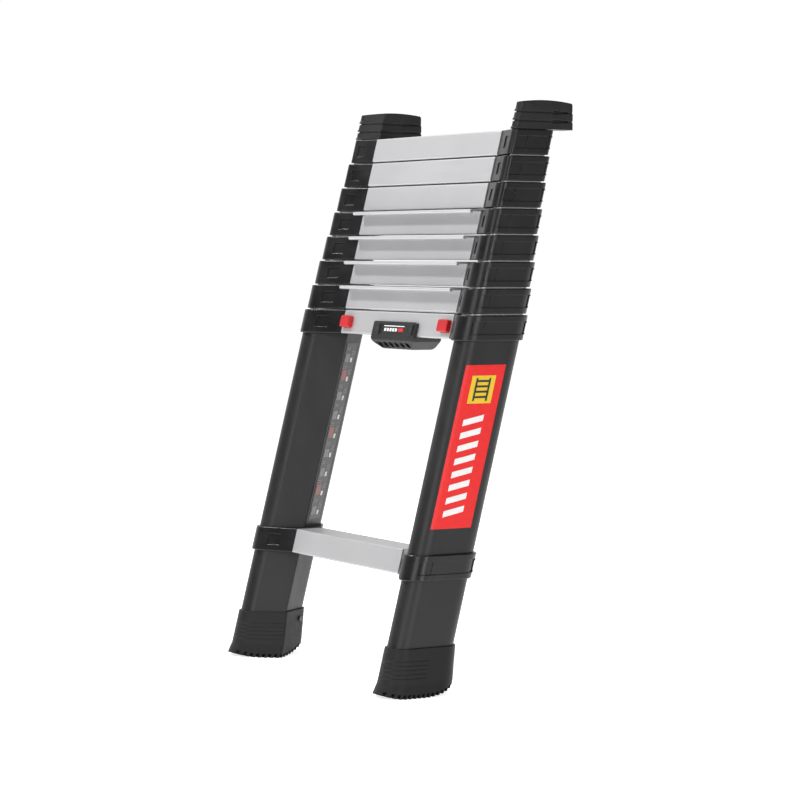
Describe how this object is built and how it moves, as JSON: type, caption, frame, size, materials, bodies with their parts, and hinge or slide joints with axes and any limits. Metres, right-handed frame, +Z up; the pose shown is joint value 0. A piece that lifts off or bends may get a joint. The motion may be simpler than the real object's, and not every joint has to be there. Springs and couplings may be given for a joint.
{
  "type": "telescoping ladder",
  "caption": "Closed telescoping ladder in its leaning pose: nested aluminium tubes, level treads with latches, red releases, rubber feet and wall caps.",
  "frame": {"origin": "on the floor under the middle of the ladder box, in the leaning pose it is used in", "axes": "+Z up; the climber stands on the -Y side and the wall is on the +Y side; X along the treads"},
  "size_m": [0.4472, 0.2794, 0.7299],
  "materials": {
    "badge_plastic": "gloss black insert with plain blocks",
    "bare_aluminium": "satin anodised",
    "black_tube": "satin black powder coat on aluminium",
    "cap_plastic": "moulded black, fine grain",
    "collar_plastic": "moulded black glass-filled nylon, low sheen",
    "dark_steel": "blackened",
    "foot_rubber": "matt black rubber",
    "grip_plastic": "moulded black",
    "red_plastic": "moulded red",
    "steel": "zinc plated",
    "tread_aluminium": "satin anodised, brushed along the tread"
  },
  "bodies": {
    "base": {"carry_grip": "grip_plastic", "collar_left_1": "collar_plastic", "collar_left_2": "collar_plastic", "collar_right_1": "collar_plastic", "collar_right_2": "collar_plastic", "foot_left": "foot_rubber", "foot_right": "foot_rubber", "foot_rivets": "dark_steel", "grip_badge": "badge_plastic", "grip_screws": "dark_steel", "tread_1": "tread_aluminium", "tread_2": "tread_aluminium", "tubes_1": "black_tube"},
    "section_2": {"tubes_2": "bare_aluminium", "collar_right_3": "collar_plastic", "collar_left_3": "collar_plastic", "tread_3": "tread_aluminium"},
    "section_3": {"tubes_3": "bare_aluminium", "collar_right_4": "collar_plastic", "collar_left_4": "collar_plastic", "tread_4": "tread_aluminium"},
    "section_4": {"tubes_4": "bare_aluminium", "collar_right_5": "collar_plastic", "collar_left_5": "collar_plastic", "tread_5": "tread_aluminium"},
    "section_5": {"tubes_5": "bare_aluminium", "collar_right_6": "collar_plastic", "collar_left_6": "collar_plastic", "tread_6": "tread_aluminium"},
    "section_6": {"tubes_6": "bare_aluminium", "collar_right_7": "collar_plastic", "collar_left_7": "collar_plastic", "tread_7": "tread_aluminium"},
    "section_7": {"tubes_7": "bare_aluminium", "collar_right_8": "collar_plastic", "collar_left_8": "collar_plastic", "tread_8": "tread_aluminium"},
    "section_8": {"tubes_8": "bare_aluminium", "collar_right_9": "collar_plastic", "collar_left_9": "collar_plastic", "tread_9": "tread_aluminium", "end_cap_right": "cap_plastic", "end_cap_left": "cap_plastic"},
    "latch_right_2": {"latch_pin_right_2": "steel"},
    "latch_left_2": {"latch_pin_left_2": "steel"},
    "latch_right_3": {"latch_pin_right_3": "steel"},
    "latch_left_3": {"latch_pin_left_3": "steel"},
    "latch_right_4": {"latch_pin_right_4": "steel"},
    "latch_left_4": {"latch_pin_left_4": "steel"},
    "latch_right_5": {"latch_pin_right_5": "steel"},
    "latch_left_5": {"latch_pin_left_5": "steel"},
    "latch_right_6": {"latch_pin_right_6": "steel"},
    "latch_left_6": {"latch_pin_left_6": "steel"},
    "latch_right_7": {"latch_pin_right_7": "steel"},
    "latch_left_7": {"latch_pin_left_7": "steel"},
    "latch_right_8": {"latch_pin_right_8": "steel"},
    "latch_left_8": {"latch_pin_left_8": "steel"},
    "button_right": {"release_button_right": "red_plastic"},
    "button_left": {"release_button_left": "red_plastic"}
  },
  "joints": [
    {"name": "section_2_slide", "type": "slide", "parent": "base", "child": "section_2", "axis": [0, 0.2425, 0.9701], "range_m": [0, 0.26619]},
    {"name": "section_3_slide", "type": "slide", "parent": "section_2", "child": "section_3", "axis": [0, 0.2425, 0.9701], "range_m": [0, 0.26619]},
    {"name": "section_4_slide", "type": "slide", "parent": "section_3", "child": "section_4", "axis": [0, 0.2425, 0.9701], "range_m": [0, 0.26619]},
    {"name": "section_5_slide", "type": "slide", "parent": "section_4", "child": "section_5", "axis": [0, 0.2425, 0.9701], "range_m": [0, 0.26619]},
    {"name": "section_6_slide", "type": "slide", "parent": "section_5", "child": "section_6", "axis": [0, 0.2425, 0.9701], "range_m": [0, 0.26619]},
    {"name": "section_7_slide", "type": "slide", "parent": "section_6", "child": "section_7", "axis": [0, 0.2425, 0.9701], "range_m": [0, 0.26619]},
    {"name": "section_8_slide", "type": "slide", "parent": "section_7", "child": "section_8", "axis": [0, 0.2425, 0.9701], "range_m": [0, 0.26619]},
    {"name": "latch_right_2_slide", "type": "slide", "parent": "base", "child": "latch_right_2", "axis": [1, 0, 0], "range_m": [0, 0.0032]},
    {"name": "latch_left_2_slide", "type": "slide", "parent": "base", "child": "latch_left_2", "axis": [-1, 0, 0], "range_m": [0, 0.0032]},
    {"name": "latch_right_3_slide", "type": "slide", "parent": "section_2", "child": "latch_right_3", "axis": [1, 0, 0], "range_m": [0, 0.0032]},
    {"name": "latch_left_3_slide", "type": "slide", "parent": "section_2", "child": "latch_left_3", "axis": [-1, 0, 0], "range_m": [0, 0.0032]},
    {"name": "latch_right_4_slide", "type": "slide", "parent": "section_3", "child": "latch_right_4", "axis": [1, 0, 0], "range_m": [0, 0.0032]},
    {"name": "latch_left_4_slide", "type": "slide", "parent": "section_3", "child": "latch_left_4", "axis": [-1, 0, 0], "range_m": [0, 0.0032]},
    {"name": "latch_right_5_slide", "type": "slide", "parent": "section_4", "child": "latch_right_5", "axis": [1, 0, 0], "range_m": [0, 0.0032]},
    {"name": "latch_left_5_slide", "type": "slide", "parent": "section_4", "child": "latch_left_5", "axis": [-1, 0, 0], "range_m": [0, 0.0032]},
    {"name": "latch_right_6_slide", "type": "slide", "parent": "section_5", "child": "latch_right_6", "axis": [1, 0, 0], "range_m": [0, 0.0032]},
    {"name": "latch_left_6_slide", "type": "slide", "parent": "section_5", "child": "latch_left_6", "axis": [-1, 0, 0], "range_m": [0, 0.0032]},
    {"name": "latch_right_7_slide", "type": "slide", "parent": "section_6", "child": "latch_right_7", "axis": [1, 0, 0], "range_m": [0, 0.0032]},
    {"name": "latch_left_7_slide", "type": "slide", "parent": "section_6", "child": "latch_left_7", "axis": [-1, 0, 0], "range_m": [0, 0.0032]},
    {"name": "latch_right_8_slide", "type": "slide", "parent": "section_7", "child": "latch_right_8", "axis": [1, 0, 0], "range_m": [0, 0.0032]},
    {"name": "latch_left_8_slide", "type": "slide", "parent": "section_7", "child": "latch_left_8", "axis": [-1, 0, 0], "range_m": [0, 0.0032]},
    {"name": "button_right_press", "type": "slide", "parent": "base", "child": "button_right", "axis": [0, 0.9701, -0.2425], "range_m": [0, 0.004], "stiffness_N_per_m": 600},
    {"name": "button_left_press", "type": "slide", "parent": "base", "child": "button_left", "axis": [0, 0.9701, -0.2425], "range_m": [0, 0.004], "stiffness_N_per_m": 600}
  ],
  "couplings": [
    {"joint": "latch_left_2_slide", "follows": "latch_right_2_slide", "ratio": 1},
    {"joint": "latch_left_3_slide", "follows": "latch_right_3_slide", "ratio": 1},
    {"joint": "latch_left_4_slide", "follows": "latch_right_4_slide", "ratio": 1},
    {"joint": "latch_left_5_slide", "follows": "latch_right_5_slide", "ratio": 1},
    {"joint": "latch_left_6_slide", "follows": "latch_right_6_slide", "ratio": 1},
    {"joint": "latch_left_7_slide", "follows": "latch_right_7_slide", "ratio": 1},
    {"joint": "latch_left_8_slide", "follows": "latch_right_8_slide", "ratio": 1}
  ]
}
